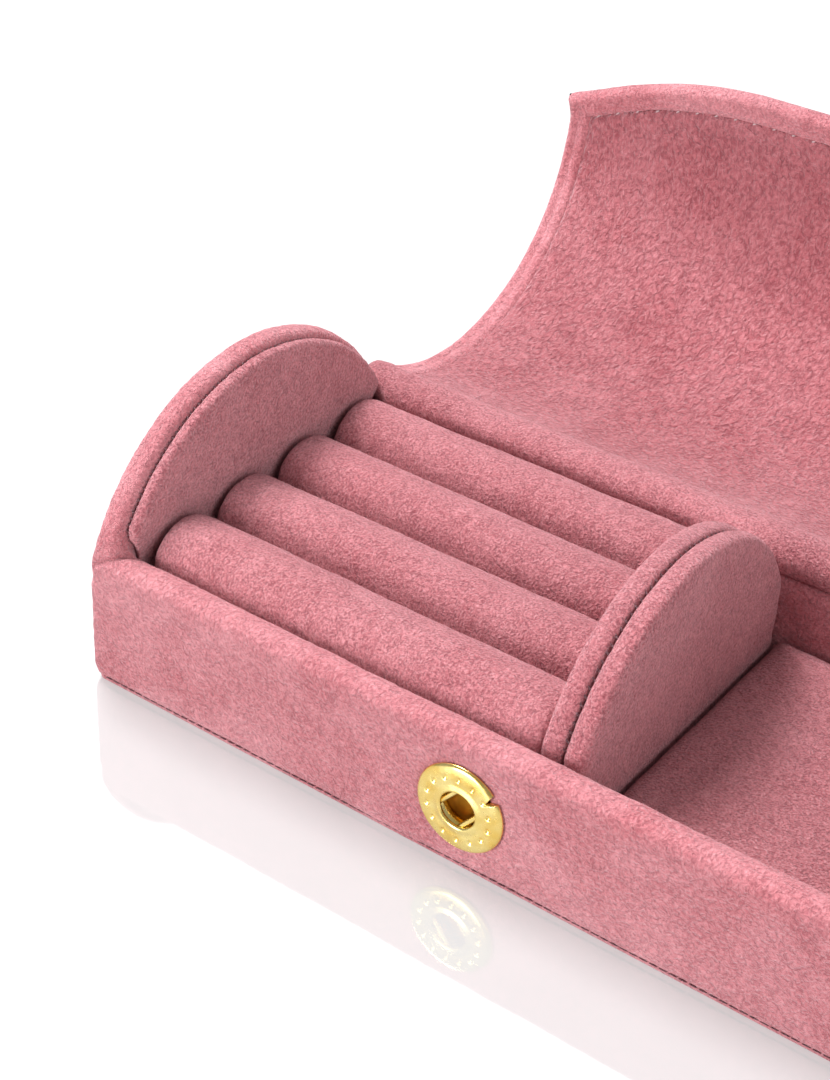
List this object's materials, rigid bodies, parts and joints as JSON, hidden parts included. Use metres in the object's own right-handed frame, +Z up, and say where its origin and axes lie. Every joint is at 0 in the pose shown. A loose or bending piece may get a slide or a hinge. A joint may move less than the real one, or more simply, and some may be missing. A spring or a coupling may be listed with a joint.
{
  "type": "travel jewelry case",
  "caption": "Small padded travel jewelry case with ring rolls, a divided compartment, arched ends, a curved fabric-hinged lid and a snap tab.",
  "frame": {"origin": "centre of the flat underside the case rests on", "axes": "+X along the case towards its open compartment, -Y towards the front wall with the snap, +Z up"},
  "size_m": [0.136, 0.1304, 0.0807],
  "materials": {
    "velvet": "short dusty-rose velvet pile",
    "velvet_shade": "short dusty-rose velvet pile, shaded",
    "greyboard": "plain stiffening card, covered all over",
    "foam": "soft upholstery foam, covered all over",
    "gold_brass": "bright gold plating"
  },
  "bodies": {
    "base": {"bottom_cover": "velvet_shade", "base_board": "greyboard", "front_cover": "velvet", "front_board": "greyboard", "back_cover": "velvet", "back_board": "greyboard", "left_end_cover": "velvet", "left_end_board": "greyboard", "left_lining_pad": "velvet", "right_end_cover": "velvet", "right_end_board": "greyboard", "right_lining_pad": "velvet", "hinge_strip": "velvet", "ring_platform": "foam", "compartment_floor": "velvet_shade", "ring_roll_1": "velvet", "ring_roll_2": "velvet", "ring_roll_3": "velvet", "ring_roll_4": "velvet", "divider_left_pad": "velvet", "divider_left_card": "greyboard", "divider_right_pad": "velvet", "divider_right_card": "greyboard", "snap_socket": "gold_brass", "snap_spring_upper": "gold_brass", "snap_spring_lower": "gold_brass", "snap_post": "gold_brass"},
    "lid": {"lid_cover": "velvet", "lid_board": "greyboard", "lid_lining": "velvet"},
    "tab": {"fastening_tab": "velvet", "snap_stud": "gold_brass", "snap_cap": "gold_brass"}
  },
  "joints": [
    {"name": "lid_hinge", "type": "hinge", "parent": "base", "child": "lid", "pos_m": [0, 0.0346, 0.024], "axis": [1, 0, 0], "range_deg": [0, 148]},
    {"name": "tab_flex", "type": "hinge", "parent": "lid", "child": "tab", "pos_m": [0, 0.0939, 0.0657], "axis": [-1, 0, 0], "range_deg": [0, 60]}
  ]
}
